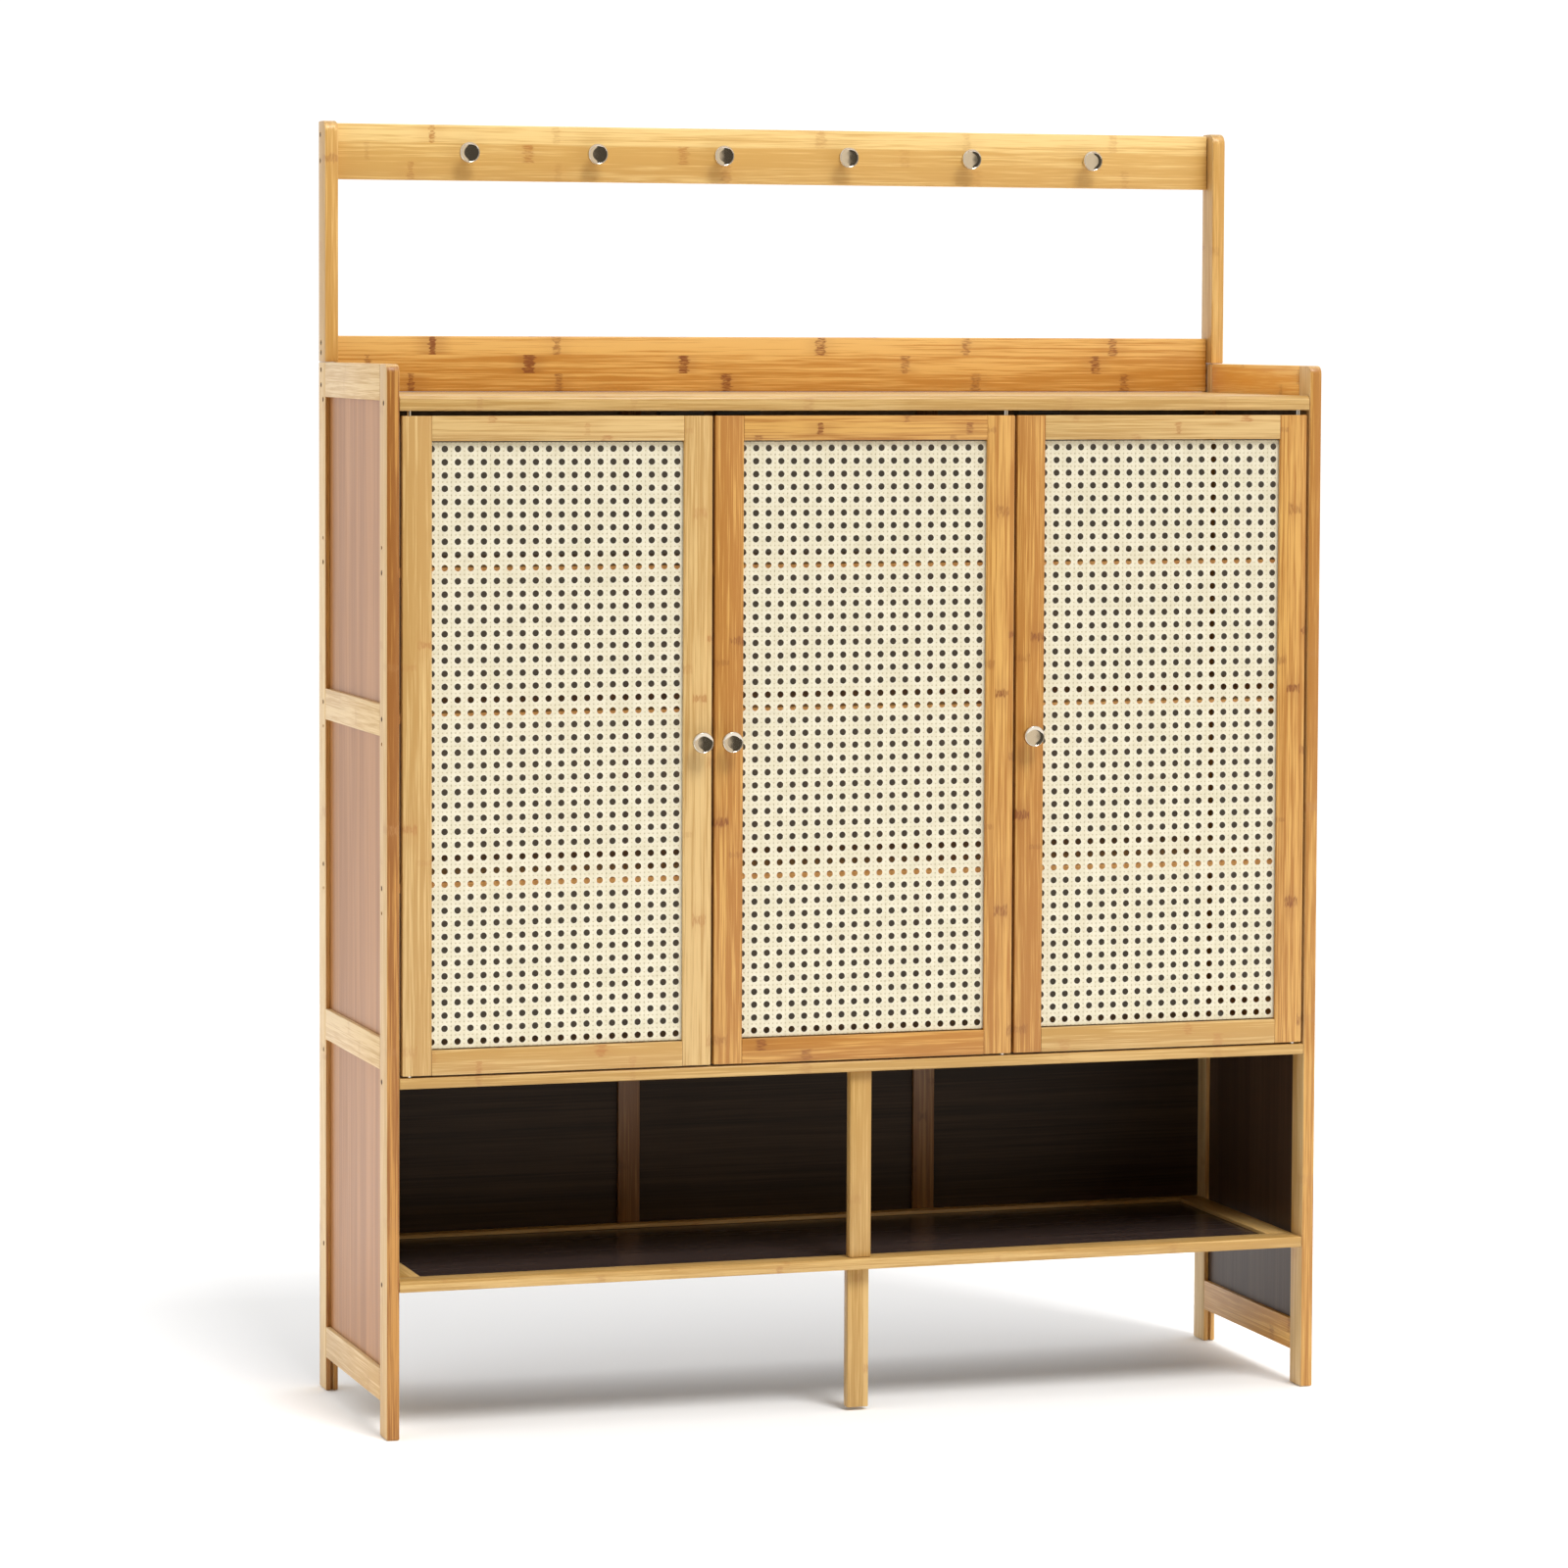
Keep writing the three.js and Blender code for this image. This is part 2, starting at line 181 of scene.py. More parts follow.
def addWeaveLight(recipe, axes, name, share):
    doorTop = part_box("left_door_frame")[1].z
    fadeFrom, fadeTo = (doorTop - drop for drop in weaveLight["doorDrop"])
    lit = aboveShelf(recipe, axes) * share * (1 - recipe.fade(axes["z"], fadeFrom, fadeTo))
    return {"Emission_Color": recipe.blend(lit, (0.0, 0.0, 0.0), weaveLight[name]), "Emission_Strength": 1.0}


bamboo = {
    "tones": {  # light fibres, deep fibres and knots
        "pale": ((0.76, 0.54, 0.26), (0.58, 0.35, 0.12), (0.46, 0.22, 0.07)),
        "honey": ((0.68, 0.465, 0.195), (0.50, 0.29, 0.088), (0.44, 0.20, 0.055)),
        "straw": ((0.64, 0.42, 0.16), (0.47, 0.27, 0.075), (0.38, 0.17, 0.045)),
        "gold": ((0.84, 0.55, 0.20), (0.62, 0.34, 0.085), (0.46, 0.18, 0.035)),
        "blond": ((0.92, 0.66, 0.27), (0.70, 0.42, 0.12), (0.50, 0.22, 0.05)),
        "amber": ((0.67, 0.375, 0.10), (0.43, 0.18, 0.03), (0.26, 0.085, 0.016)),
        "orange": ((0.82, 0.49, 0.145), (0.57, 0.26, 0.042), (0.27, 0.085, 0.016)),
        "marigold": ((0.93, 0.57, 0.165), (0.80, 0.385, 0.065), (0.34, 0.11, 0.02)),
        "toffee": ((0.54, 0.26, 0.055), (0.30, 0.105, 0.012), (0.14, 0.042, 0.008)),
        "walnut": ((0.30, 0.15, 0.045), (0.18, 0.075, 0.02), (0.09, 0.035, 0.01)),
    },
    "fine": (820, 17, 3.0),  # waves per metre across and along the grain, and their detail
    "middling": (250, 4.5, 3.0),
    "drift": (22, 1.4, 1.0),
    "shares": {"fine": 2.5, "middling": 2.1, "drift": 1.2, "strip": 0.6},  # of each in the shade of the wood
    "edgeTurn": (0.55, 0.85),  # how far a face looks to the front or back before it takes the edge tone
    "internode": 0.21,  # from knot to knot on one strip
    "wander": 0.10,  # how far a knot may lie off its even place
    "knotHalf": 0.0062,  # half a knot's length along the grain
    "knotSpread": (0.6, 0.6),  # its least length, and what chance adds
    "knotStrength": (0.6, 1.1),  # the same for its darkness
    "knotEdge": (0.6, 1.25),  # where it fades, in halves of its length
    "ragged": (480, 50, 3.0),
    "raggedRange": (2.2, 0.35),
    "hairs": (900, 130, 2.0),
    "hairEdge": (0.42, 0.58),
    "hairShare": 0.7,
    "halo": (0.004, 0.026),  # the faint shade round a knot
    "haloShare": 0.18,
    "seam": 0.04,  # half a seam's width, in strips
    "seamShare": 0.3,
    "roughness": 0.36,
    "roughnessSpread": 0.14,
    "reliefs": {"fine": 0.7, "knot": 0.5, "seam": 0.6},
    "depth": 0.00006,
    "coat": {"Coat_Weight": 0.10, "Coat_Roughness": 0.22},
}


def woodShade(recipe, place, grain, stripRoll):
    waves = {name: recipe.fibres(place, grain, *bamboo[name]) for name in ("fine", "middling", "drift")}
    shares = bamboo["shares"]
    depth = (stripRoll - 0.5) * shares["strip"] + 0.5
    for name, wave in waves.items():
        depth = depth + (wave - 0.5) * shares[name]
    return recipe.fade(depth, 0.0, 1.0), waves["fine"]


def knotMarks(recipe, place, axes, grain, number, startRoll, knots):
    # one knot to each internode of a strip, and how dark the knot and its halo are here
    run = axes[grain] / bamboo["internode"] + startRoll
    placeRoll, strengthRoll, lengthRoll = recipe.dice(number, run.maths("FLOOR"))
    offset = abs((run.maths("FRACT") - 0.5) * bamboo["internode"] + (placeRoll - 0.5) * bamboo["wander"])
    gain, loss = bamboo["raggedRange"]
    ragged = recipe.fibres(place, grain, *bamboo["ragged"]) * gain - loss
    least, spread = bamboo["knotSpread"]
    half = ragged * (lengthRoll * spread + least) * bamboo["knotHalf"]
    hairs = recipe.fade(recipe.fibres(place, grain, *bamboo["hairs"]), *bamboo["hairEdge"])
    hairs = hairs * bamboo["hairShare"] + (1 - bamboo["hairShare"])
    least, spread = bamboo["knotStrength"]
    strength = strengthRoll * strengthRoll * (spread * knots) + least * knots
    knot = (1 - recipe.fade(offset / half, *bamboo["knotEdge"])) * hairs * strength
    halo = (1 - recipe.fade(offset, *bamboo["halo"])) * strength
    return knot, halo


def bambooFinish(name, grain, tone, node, strip, knots, edgeTone=None, glow=None, glowTurn=0.0):
    # laminated strips along one axis, counted from a node's low corner, each with its own shade and knots
    recipe = newRecipe(name)
    place = recipe.place()
    axes = recipe.axes(place)
    first, second = crossAxes(grain)
    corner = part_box(node)[0]
    start = getattr(corner, first) + getattr(corner, second)
    across = (axes[first] + axes[second] - start) / strip  # the sum carries a strip round a board's corner
    number = across.maths("FLOOR")
    stripRoll, startRoll, _ = recipe.dice(number)
    share, fine = woodShade(recipe, place, grain, stripRoll)
    light, deep, knotColour = bamboo["tones"][tone]
    wood = recipe.blend(share, light, deep)
    if edgeTone:
        # the strips that show on the front and back edges are of another tone
        edgeLight, edgeDeep, _ = bamboo["tones"][edgeTone]
        edgeWood = recipe.blend(share, edgeLight, edgeDeep)
        wood = recipe.blend(recipe.fade(abs(recipe.facing()), *bamboo["edgeTurn"]), wood, edgeWood)
    knot, halo = knotMarks(recipe, place, axes, grain, number, startRoll, knots)
    knotted = recipe.blend(knot + halo * bamboo["haloShare"], wood, knotColour)
    seam = 1 - recipe.fade(0.5 - abs(across.maths("FRACT") - 0.5), 0.0, bamboo["seam"])
    colour = recipe.blend(seam * bamboo["seamShare"], knotted, deep)
    reliefs = bamboo["reliefs"]
    height = fine * reliefs["fine"] - knot * reliefs["knot"] - seam * reliefs["seam"]
    constants = dict(bamboo["coat"])
    if glow:
        turnEdge = weaveLight["turnEdge"]
        lit = 1 - recipe.fade(recipe.facing(), glowTurn - turnEdge, glowTurn + turnEdge)
        constants.update(addWeaveLight(recipe, axes, glow, lit))
    roughness = fine * bamboo["roughnessSpread"] + bamboo["roughness"]
    return recipe.shade(colour, roughness, height, bamboo["depth"], **constants)


board = {
    "tones": {  # light streaks, deep streaks and how much its strips differ
        "side": ((0.46, 0.205, 0.066), (0.335, 0.135, 0.036), 0.6),
        # painted shade: the side boards' inner faces take this far darker tone than their outer faces
        "inside": ((0.088, 0.050, 0.030), (0.055, 0.030, 0.018), 0.3),
        "back": ((0.045, 0.024, 0.010), (0.020, 0.010, 0.004), 0.25),
        "shelf": ((0.062, 0.042, 0.038), (0.038, 0.026, 0.023), 0.25),
        "lining": ((0.26, 0.20, 0.14), (0.20, 0.15, 0.10), 0.25),  # painted light: the paler tone of the faces behind the doors above the middle shelf, for the light that comes through the weave
    },
    "roughness": {"side": 0.29, "back": 0.42, "shelf": 0.18},
    "mirror": {"side": 0.34, "back": 0.2, "shelf": 0.4},  # specular level
    "strip": 0.0135,
    "streaks": (90, 1.5, 2.0),  # waves per metre across and along the grain, and their detail
    "pores": (520, 8, 3.0),
    "streakShare": 1.6,
    "poreShare": 1.3,
    "roughnessSpread": 0.14,
    "depth": 0.00003,
    "faceEdge": 0.0001,  # from a board's middle to where its inner face's tone is full
}


def boardStreaks(recipe, axes, grain, streaks, pores, tone):
    light, deep, contrast = board["tones"][tone]
    first, second = crossAxes(grain)
    stripRoll = recipe.dice(((axes[first] + axes[second]) / board["strip"]).maths("FLOOR"))[0]
    share = (streaks - 0.5) * board["streakShare"] + (pores - 0.5) * board["poreShare"]
    return recipe.blend(recipe.fade(share + (stripRoll - 0.5) * contrast + 0.5, 0.0, 1.0), light, deep)


def boardFinish(name, grain, inner=None):
    # thin veneered board with soft streaks; the side boards' inner faces are painted darker, as painted
    # shade, and the faces that line the space behind the doors, above the middle shelf, are painted paler and
    # given a faint glow, as painted light for the light that comes through the weave
    recipe = newRecipe(f"{name}Board")
    place = recipe.place()
    axes = recipe.axes(place)
    streaks = recipe.fibres(place, grain, *board["streaks"])
    pores = recipe.fibres(place, grain, *board["pores"])
    colour = boardStreaks(recipe, axes, grain, streaks, pores, name)
    constants = {"Specular_IOR_Level": board["mirror"][name]}
    if inner:
        innerShare = inner(recipe, axes)
        # painted shade: the inner faces of the side boards are darkened
        if name == "side":
            inside = boardStreaks(recipe, axes, grain, streaks, pores, "inside")
            colour = recipe.blend(innerShare, colour, inside)
        # painted light: the faces behind the doors above the middle shelf are made paler and given a faint
        # glow
        lining = boardStreaks(recipe, axes, grain, streaks, pores, "lining")
        colour = recipe.blend(innerShare * aboveShelf(recipe, axes), colour, lining)
        constants.update(addWeaveLight(recipe, axes, "lining", innerShare))
    roughness = pores * board["roughnessSpread"] + board["roughness"][name]
    return recipe.shade(colour, roughness, pores, board["depth"], **constants)


def towardsMiddle(recipe, value, node, axis):
    # 1 on the half of a board's thickness that is nearer to 0 along the axis
    low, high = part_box(node)
    middle = (getattr(low, axis) + getattr(high, axis)) / 2
    return 1 - recipe.fade(value, middle - board["faceEdge"], middle + board["faceEdge"])


def sideInner(recipe, axes):
    return towardsMiddle(recipe, abs(axes["x"]), "right_middle_panel", "x")


def backInner(recipe, axes):
    return towardsMiddle(recipe, axes["y"], "back_panel_middle", "y")


cane = {
    "holeRadius": 0.0034,
    "holeSides": 16,
    "ring": 1.35,  # the first ring of faces, in hole radii
    "pitchX": 0.01337,
    "pitchZ": 0.01314,
    "columns": 20,
    "rows": 46,
    "firstColumn": 0.0007,  # from the opening's left edge to the first column's middle
    "thickness": 0.0007,
    "weldWithin": 0.00005,
    "strands": 3,  # stitches from hole to hole
    "light": (0.80, 0.75, 0.585),
    "deep": (0.74, 0.685, 0.51),
    "stitch": (0.48, 0.41, 0.22),
    "halo": (0.84, 0.80, 0.66),
    "mottle": 60,
    "mottleEdge": (0.3, 0.7),
    "grit": 1500,
    "gritShare": 0.2,
    "rimEdge": (0.28, 0.36),  # from the hole's middle, in cells
    "clearEdge": (0.33, 0.40),
    "dotEdge": (0.10, 0.26),  # in strands
    "dotShare": 0.7,
    "rimShare": 0.6,
    "reliefs": {"strand": 3, "rim": 0.8, "dot": 0.6},
    "roughness": 0.5,
    "depth": 0.0002,
    "glow": 0.05,  # share of the light that the thin weave lets through
}


def caneFinish():
    # woven paper cane: each cell's map runs from 0 to 1 with the hole in its middle
    recipe = newRecipe("caneWeave")
    axes = recipe.axes(recipe.node("ShaderNodeUVMap", {"uv_map": "UVMap"}))
    u, v = axes["x"], axes["y"]
    place = recipe.place()
    mottle = recipe.noise(place, (cane["mottle"],) * 3)
    grit = recipe.noise(place, (cane["grit"],) * 3) * cane["gritShare"]

    def strand(value):
        return 0.5 - abs((value * cane["strands"]).maths("FRACT") - 0.5)

    def far(first, second):
        return (first * first + second * second).maths("SQRT")

    fromHole = far(u - 0.5, v - 0.5)
    strandU, strandV = strand(u), strand(v)
    rim = 1 - recipe.fade(fromHole, *cane["rimEdge"])
    dot = 1 - recipe.fade(far(strandU, strandV), *cane["dotEdge"])
    dot = dot * recipe.fade(fromHole, *cane["clearEdge"])
    tone = recipe.blend(recipe.fade(mottle, *cane["mottleEdge"]), cane["light"], cane["deep"])
    stitched = recipe.blend(dot * cane["dotShare"], tone, cane["stitch"])
    colour = recipe.blend(rim * cane["rimShare"], stitched, cane["halo"])
    reliefs = cane["reliefs"]
    waves = strandU * strandV * reliefs["strand"] + rim * reliefs["rim"] - dot * reliefs["dot"]
    through = recipe.node("ShaderNodeBsdfTranslucent", {}, {"Color": opaque(cane["light"])})
    behind = (cane["glow"], through)
    return recipe.shade(colour, grit + cane["roughness"], waves + grit, cane["depth"], behind)


metal = {  # colour, roughness, scratches per metre along X, Y and Z, and how worn
    "chrome": ((0.64, 0.575, 0.48), 0.06, (300, 300, 300), 0.12),
    "boltSteel": ((0.16, 0.13, 0.11), 0.38, (600, 600, 600), 0.5),
    "plateSteel": ((0.55, 0.55, 0.54), 0.25, (40, 900, 900), 0.4),
}
metalWear = {"darker": 0.7, "rougher": 0.3, "detail": 3.0, "depth": 0.000004}


def metalFinish(name):
    recipe = newRecipe(name)
    colour, roughness, scratchScale, wear = metal[name]
    scratches = recipe.noise(recipe.place(), scratchScale, metalWear["detail"])
    worn = [part * metalWear["darker"] for part in colour]
    tone = recipe.blend(scratches * wear, colour, worn)
    dull = scratches * wear * metalWear["rougher"] + roughness
    return recipe.shade(tone, dull, scratches, metalWear["depth"], Metallic=1.0)


plastic = {
    "colour": (0.012, 0.012, 0.013),
    "grainLight": 1.8,  # how much lighter the grain's tops are
    "grain": 900,
    "detail": 3.0,
    "roughness": 0.4,
    "roughnessSpread": 0.2,
    "depth": 0.00003,
}


def plasticFinish():
    recipe = newRecipe("blackPlastic")
    grain = recipe.noise(recipe.place(), (plastic["grain"],) * 3, plastic["detail"])
    lighter = [part * plastic["grainLight"] for part in plastic["colour"]]
    tone = recipe.blend(grain, plastic["colour"], lighter)
    roughness = grain * plastic["roughnessSpread"] + plastic["roughness"]
    return recipe.shade(tone, roughness, grain, plastic["depth"])


# grain, tone, the node that strips are counted from, their width, knots, edge tone, glow and its turn
bambooBoards = {
    "leftStile": ("z", "pale", "left_front_stile", 0.015, 0.35, "toffee"),
    "rightStile": ("z", "pale", "right_front_stile", 0.015, 0.45, "amber"),
    "leftRail": ("y", "pale", "left_bottom_rail", 0.016, 0.25),
    # the right side's rails take the orange tone and its top rail the brighter marigold: partly their own
    # tone, partly painted light, as on the lit inner face of the top rail
    "rightRail": ("y", "orange", "right_bottom_rail", 0.016, 0.4),
    "rightTopRail": ("y", "marigold", "right_top_rail", 0.016, 0.3),
    "post": ("z", "honey", "left_upper_post", 0.014, 0.5, "gold"),
    # the hook rail's blond and the back rail's orange tone are brighter than the lower pieces': partly their
    # own tone, partly painted light from above
    "hookRail": ("x", "blond", "hook_rail", 0.01933, 0.45),
    "backRail": ("x", "orange", "back_rail", 0.01933, 0.95),
    "topShelf": ("x", "straw", "top_shelf", 0.015, 0.3),
    "lowShelf": ("x", "straw", "mid_shelf", 0.014, 0.35),
    "shelfEnd": ("y", "straw", "bottom_shelf_frame", 0.014, 0.35),
    # painted light: the inner shelves take the brighter gold tone, and their fronts a faint glow, for the
    # light that comes through the weave
    "innerShelf": ("x", "gold", "upper_inner_shelf", 0.018, 0.4, None, "shelfFront", -0.4),
    "centreWood": ("z", "straw", "centre_post", 0.0115, 0.45),
    "batten": ("z", "walnut", "back_batten_left", 0.012, 0.4, None, "batten", 0.5),
    "leftDoorStile": ("z", "honey", "left_door_frame", 0.015, 0.5),
    "leftDoorRail": ("x", "honey", "left_door_frame", 0.0125, 0.65),
    "middleDoorStile": ("z", "amber", "middle_door_frame", 0.015, 0.6),
    "middleDoorRail": ("x", "amber", "middle_door_frame", 0.0125, 0.65),
    "rightDoorStile": ("z", "amber", "right_door_frame", 0.015, 0.7),
    "rightDoorRail": ("x", "honey", "right_door_frame", 0.0125, 0.6),
}
finishes = {name: bambooFinish(name, *settings) for name, settings in bambooBoards.items()}
finishes["sideBoard"] = boardFinish("side", "z", sideInner)
finishes["backBoard"] = boardFinish("back", "x", backInner)
finishes["shelfBoard"] = boardFinish("shelf", "x")
finishes["cane"] = caneFinish()
finishes["chrome"] = metalFinish("chrome")
finishes["steel"] = metalFinish("boltSteel")
finishes["plate"] = metalFinish("plateSteel")
finishes["black"] = plasticFinish()
print("finishes made:", len(finishes))


def camel(words):
    head, *rest = words.split("_")
    return head + "".join(word.title() for word in rest)


def middleOf(node, axis):
    return sum(getattr(corner, axis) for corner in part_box(node)) / 2


def clearSelection():
    if bpy.context.mode != "OBJECT":
        bpy.ops.object.mode_set(mode="OBJECT")
    bpy.ops.object.select_all(action="DESELECT")


def pick(*pieces):
    clearSelection()
    for piece in pieces:
        piece.select_set(True)
    bpy.context.view_layer.objects.active = pieces[0]


samePlace = 0.00001  # metres within which a point counts as lying in a plane
sharpTurn = radians(40)  # between two faces, from which their edge is softened
sameWay = 0.9  # cosine above which a face counts as looking in a direction


def pickParts(piece, kind, chosen):
    # edit mode, with just those edges or faces selected that are chosen
    pick(piece)
    bpy.ops.object.mode_set(mode="EDIT")
    bpy.ops.mesh.select_mode(type=kind)
    bpy.ops.mesh.select_all(action="DESELECT")
    bpy.ops.object.mode_set(mode="OBJECT")
    for part in piece.data.edges if kind == "EDGE" else piece.data.polygons:
        part.select = chosen(part)
    bpy.ops.object.mode_set(mode="EDIT")


def pickFacing(piece, direction):
    pickParts(piece, "FACE", lambda face: face.normal.dot(Vector(direction)) > sameWay)


def settle(piece):
    # the object goes to the origin, and its place into its mesh
    pick(piece)
    bpy.ops.object.transform_apply(location=True, rotation=True, scale=True)


def startBlock(low, high):
    clearSelection()
    bpy.ops.mesh.primitive_cube_add(size=1, location=(low + high) / 2, scale=high - low)
    piece = bpy.context.object
    settle(piece)
    return piece


def startRod(axis, middle, radius, length, sides=20):
    clearSelection()
    turn = (0, pi / 2, 0) if axis == "x" else (0, 0, 0)
    size = {"vertices": sides, "radius": radius, "depth": length}
    bpy.ops.mesh.primitive_cylinder_add(**size, location=middle, rotation=turn)
    piece = bpy.context.object
    settle(piece)
    return piece


def copyTo(piece, shift):
    pick(piece)
    bpy.ops.object.duplicate()
    copy = bpy.context.object
    bpy.ops.transform.translate(value=shift)
    settle(copy)
    return copy


def joined(pieces):
    pick(*pieces)
    if len(pieces) > 1:
        bpy.ops.object.join()
    return bpy.context.object


def bevel(width, segments):
    bpy.ops.mesh.bevel(offset=width, segments=segments, affect="EDGES")
    bpy.ops.object.mode_set(mode="OBJECT")


def roundCorner(piece, radius, segments=6, **planes):
    # rounds the edges that lie in all the planes, such as y=front and z=top

    def inPlanes(edge):
        ends = [piece.data.vertices[end].co for end in edge.vertices]
        offsets = [abs(getattr(end, axis) - value) for end in ends for axis, value in planes.items()]
        return max(offsets) < samePlace

    pickParts(piece, "EDGE", inPlanes)
    bevel(radius, segments)


def softenEdges(piece, width):
    pickParts(piece, "EDGE", lambda edge: False)
    bpy.ops.mesh.edges_select_sharp(sharpness=sharpTurn)
    bevel(width, segments=2)


def carve(piece, cutters):
    if not cutters:
        return
    tool = joined(cutters)
    pick(piece)
    cut = piece.modifiers.new("cut", "BOOLEAN")
    cut.operation = "DIFFERENCE"
    cut.object = tool
    bpy.ops.object.modifier_apply(modifier=cut.name)
    bpy.data.objects.remove(tool)


def grooves(piece, *nodes):
    # cutters as large as the pieces let into this one, where they reach it
    points = [vertex.co for vertex in piece.data.vertices]
    low = [min(point[i] for point in points) for i in range(3)]
    high = [max(point[i] for point in points) for i in range(3)]
    gap = Vector((joinGap,) * 3)
    cutters = []
    for node in nodes:
        nodeLow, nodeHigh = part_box(node)
        nodeLow, nodeHigh = nodeLow - gap, nodeHigh + gap
        if all(nodeLow[i] < high[i] and nodeHigh[i] > low[i] for i in range(3)):
            cutters.append(startBlock(nodeLow, nodeHigh))
    return cutters


def pinHole(doorName, level):
    low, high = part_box(f"{doorName}_{level}_pin")
    radius = (high.x - low.x) / 2 + joinGap
    return startRod("z", (low + high) / 2, radius, high.z - low.z + 2 * joinGap)


def finishPiece(piece, name, finish, body, nodes=(), smooth=35):
    pick(piece)
    bpy.ops.object.shade_smooth_by_angle(angle=radians(smooth))
    piece.name = name
    piece.data.name = name
    piece.data.materials.clear()
    piece.data.materials.append(finishes[finish])
    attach(piece, body)
    if nodes:
        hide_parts(*nodes)


sideFrame = {
    "edge": 0.0011,
    "railEdge": 0.00055,
    "corners": {"front_stile": 0.0085, "rear_stile": None, "upper_post": 0.0115},  # at the top, in front
    "grooveFoot": -0.01,  # below the floor, so that the groove is open at the foot
    "grooveStop": 0.008,  # below the stile's top
    "boreLength": 0.03,
    "bores": (("bolts", 0.0028, 20), ("spares", 0.0020, 14)),  # use, radius and number of sides
}
boltLines = {
    "front": 0.022,  # behind the stile's front face
    "topFront": 0.014,
    "rear": 0.280,
    "backRail": 0.007,  # above its foot and below its top
    "sideTop": (-0.008, 0.010),  # from the stile's top, in the stile and in the post
    "hookRail": (-0.010, 0.017),  # from its middle
    "spares": {"upper": 0.025, "centre": -0.025, "lower": -0.025},  # from the middle of each inner shelf
}


def boltPlaces():
    # (depth, height) of each bolt in a side, and of the spare holes, as the pieces behind them lie
    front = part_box("left_front_stile")[0].y
    frontLine, rearLine = front + boltLines["front"], front + boltLines["rear"]
    railLine, hookLine = middleOf("back_rail", "y"), middleOf("hook_rail", "y")
    inner = {level: middleOf(f"{level}_inner_shelf", "z") for level in boltLines["spares"]}
    levels = [*inner.values(), middleOf("mid_shelf", "z"), middleOf("bottom_shelf_frame", "z")]
    spares = [level + boltLines["spares"][name] for name, level in inner.items()]
    topLevel, hookLevel = middleOf("top_shelf", "z"), middleOf("hook_rail", "z")
    railFoot, railTop = (corner.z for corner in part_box("back_rail"))
    inStile, inPost = (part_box("left_rear_stile")[1].z + shift for shift in boltLines["sideTop"])
    inRail = boltLines["backRail"]
    bolts = {
        "front_stile": [(front + boltLines["topFront"], topLevel)],
        "rear_stile": [(rearLine, topLevel), (railLine, railFoot + inRail), (railLine, inStile)],
        "upper_post": [(railLine, inPost), (railLine, railTop - inRail)],
    }
    bolts["front_stile"] += [(frontLine, level) for level in levels]
    bolts["rear_stile"] += [(rearLine, level) for level in levels]
    bolts["upper_post"] += [(hookLine, hookLevel + shift) for shift in boltLines["hookRail"]]
    lines = {"front_stile": frontLine, "rear_stile": rearLine}
    return {"bolts": bolts, "spares": {part: [(y, z) for z in spares] for part, y in lines.items()}}


def panelGroove(panel, top):
    low, high = (corner.copy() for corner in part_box(panel))
    low -= Vector((joinGap,) * 3)
    high += Vector((joinGap,) * 3)
    low.z = sideFrame["grooveFoot"]
    high.z = top - sideFrame["grooveStop"]
    return startBlock(low, high)


def makeSide(side, places):
    panels = [f"{side}_{level}_panel" for level in ("lower", "middle", "upper")]
    for part, corner in sideFrame["corners"].items():
        node = f"{side}_{part}"
        low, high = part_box(node)
        piece = startBlock(low, high)
        if corner:
            roundCorner(piece, corner, y=low.y, z=high.z)
        softenEdges(piece, sideFrame["edge"])
        cutters = []
        if part != "upper_post":
            cutters += grooves(piece, f"back_panel_{side}")
            cutters.append(panelGroove(panels[0], high.z))
        for use, radius, sides in sideFrame["bores"]:
            for y, z in places[use].get(part, []):
                middle = (middleOf(node, "x"), y, z)
                cutters.append(startRod("x", middle, radius, sideFrame["boreLength"], sides))
        carve(piece, cutters)
        finish = "post" if part == "upper_post" else f"{side}Stile"
        finishPiece(piece, camel(node), finish, "carcass", [node])
    for part in ("bottom_rail", "lower_mid_rail", "upper_mid_rail", "top_rail"):
        node = f"{side}_{part}"
        piece = startBlock(*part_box(node))
        softenEdges(piece, sideFrame["railEdge"])
        carve(piece, grooves(piece, *panels))
        finish = "rightTopRail" if node == "right_top_rail" else f"{side}Rail"
        finishPiece(piece, camel(node), finish, "carcass", [node])


bolt = {
    "sides": 12,
    "radius": 0.0026,
    "depth": 0.006,
    "sunk": 0.0004,
    "rim": 0.0006,
    "rimDrop": 0.00024,
    "socket": 0.0018,
}


def makeBolts(side, inward, spots):
    # a sunk head with a socket, turned to look out of the side
    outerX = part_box(f"{side}_front_stile")[0 if inward > 0 else 1].x
    middleX = outerX + inward * (bolt["sunk"] + bolt["depth"] / 2)
    head = startRod("x", (middleX, 0, 0), bolt["radius"], bolt["depth"], bolt["sides"])
    pickFacing(head, (-inward, 0, 0))
    bpy.ops.mesh.inset(thickness=bolt["rim"], depth=-bolt["rimDrop"])
    bpy.ops.mesh.inset(thickness=bolt["rim"], depth=0)
    bpy.ops.mesh.extrude_region_move(TRANSFORM_OT_translate={"value": (inward * bolt["socket"], 0, 0)})
    bpy.ops.object.mode_set(mode="OBJECT")
    copies = [copyTo(head, (0, y, z)) for line in spots.values() for y, z in line]
    bpy.data.objects.remove(head)
    finishPiece(joined(copies), f"{side}Bolts", "steel", "carcass")


boltSpots = boltPlaces()
for sideName, inwardX in (("left", 1), ("right", -1)):
    makeSide(sideName, boltSpots)
    makeBolts(sideName, inwardX, boltSpots["bolts"])
print("sides made")


doorHinges = {"left_door": -1, "middle_door": 1, "right_door": 1}  # the hinged edge, along X
shelf = {
    "edge": 0.0009,
    "topNose": 0.0050,
    "lowNose": 0.0016,
    "frontRail": 0.028,
    "rearRail": 0.016,
}


